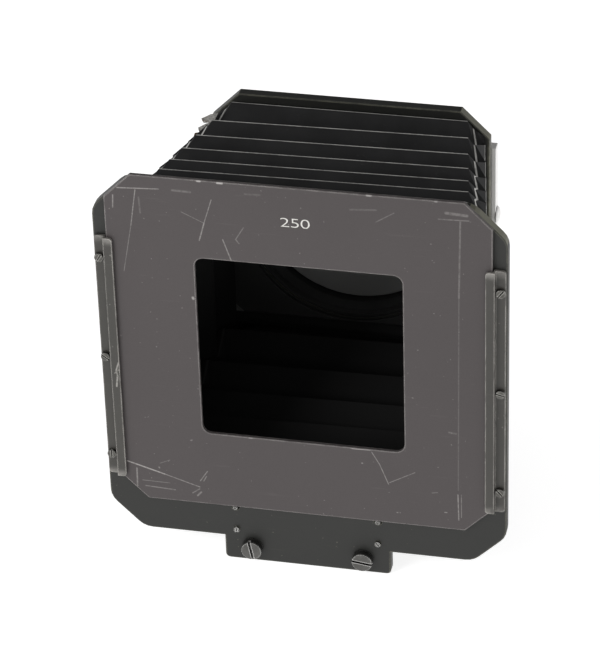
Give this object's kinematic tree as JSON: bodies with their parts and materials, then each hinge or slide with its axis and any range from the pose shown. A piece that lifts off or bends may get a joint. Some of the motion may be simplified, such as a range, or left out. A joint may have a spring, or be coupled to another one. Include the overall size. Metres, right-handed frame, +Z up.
{
  "type": "compendium bellows lens hood",
  "caption": "Folding bellows lens hood: square cut-corner front frame with a slide-in windowed mask, tapered bellows, and a rear frame with a round lens collar.",
  "frame": {"origin": "centre of the bounding box's base: the plane on which the front tab and the rear carriage stand", "axes": "-Y to the front (the mask's side), +X to the right seen from the front, +Z up along the mask's slide"},
  "size_m": [0.105, 0.1012, 0.1153],
  "materials": {
    "frame_black": "semi-matt black anodised, rubbed at the edges",
    "mask_brown_black": "faded black anodised with fine scratches",
    "rail_grey": "worn dark anodised, bright on the lips",
    "bellows_cloth": "matt black leathercloth, rubbed grey along the folds",
    "chrome": "satin chrome",
    "screw_steel": "dulled steel, bright where rubbed",
    "rod_steel": "ground bright steel",
    "blackened_metal": "matt black",
    "bush_brass": "plain turned brass"
  },
  "bodies": {
    "rear_standard": {"rear_frame": "frame_black", "rear_clamp_ring": "blackened_metal", "lens_collar": "blackened_metal", "adapter_ring": "blackened_metal", "mount_bar_left": "chrome", "mount_bar_right": "chrome", "mount_bar_screw_left_1": "screw_steel", "mount_bar_screw_left_2": "screw_steel", "mount_bar_screw_right_1": "screw_steel", "mount_bar_screw_right_2": "screw_steel", "side_dome_left": "chrome", "side_dome_right": "chrome", "carriage": "frame_black", "rod_bush_left": "bush_brass", "rod_bush_right": "bush_brass", "riser": "frame_black", "riser_screw_left": "screw_steel", "riser_screw_right": "screw_steel", "foot_screw_left": "screw_steel", "foot_screw_right": "screw_steel", "bellows": "bellows_cloth"},
    "front_standard": {"front_frame": "frame_black", "mask_rail_left": "rail_grey", "mask_rail_right": "rail_grey", "rail_screw_left_1": "screw_steel", "rail_screw_left_2": "screw_steel", "rail_screw_left_3": "screw_steel", "rail_screw_right_1": "screw_steel", "rail_screw_right_2": "screw_steel", "rail_screw_right_3": "screw_steel", "mask_spring_left": "rod_steel", "mask_spring_right": "rod_steel", "mask_stop_pin_left": "screw_steel", "mask_stop_pin_right": "screw_steel", "front_clamp_ring": "blackened_metal", "rod_bracket": "frame_black", "guide_rod_left": "rod_steel", "guide_rod_right": "rod_steel", "rod_screw_left": "screw_steel", "rod_screw_right": "screw_steel", "bracket_screw_left": "screw_steel", "bracket_screw_right": "screw_steel", "rod_stop_left": "blackened_metal", "rod_stop_right": "blackened_metal"},
    "mask": {"mask_plate": "mask_brown_black"},
    "clamp_thumbscrew": {"clamp_knob": "chrome"},
    "collar_thumbscrew": {"collar_screw": "chrome"}
  },
  "joints": [
    {"name": "front_slide", "type": "slide", "parent": "rear_standard", "child": "front_standard", "axis": [0, -1, 0], "range_m": [-0.034, 0.02], "deforming": ["bellows"]},
    {"name": "mask_slide", "type": "slide", "parent": "front_standard", "child": "mask", "axis": [0, 0, 1], "range_m": [0, 0.079]},
    {"name": "clamp_knob_turn", "type": "hinge", "parent": "rear_standard", "child": "clamp_thumbscrew", "pos_m": [0.0226, 0.0216, 0.0113], "axis": [0, 0, 1], "range_deg": [0, 180]},
    {"name": "collar_screw_turn", "type": "hinge", "parent": "rear_standard", "child": "collar_thumbscrew", "pos_m": [-0.02121, 0.0256, 0.04509], "axis": [-0.7071, 0, -0.7071], "range_deg": [0, 270]}
  ]
}
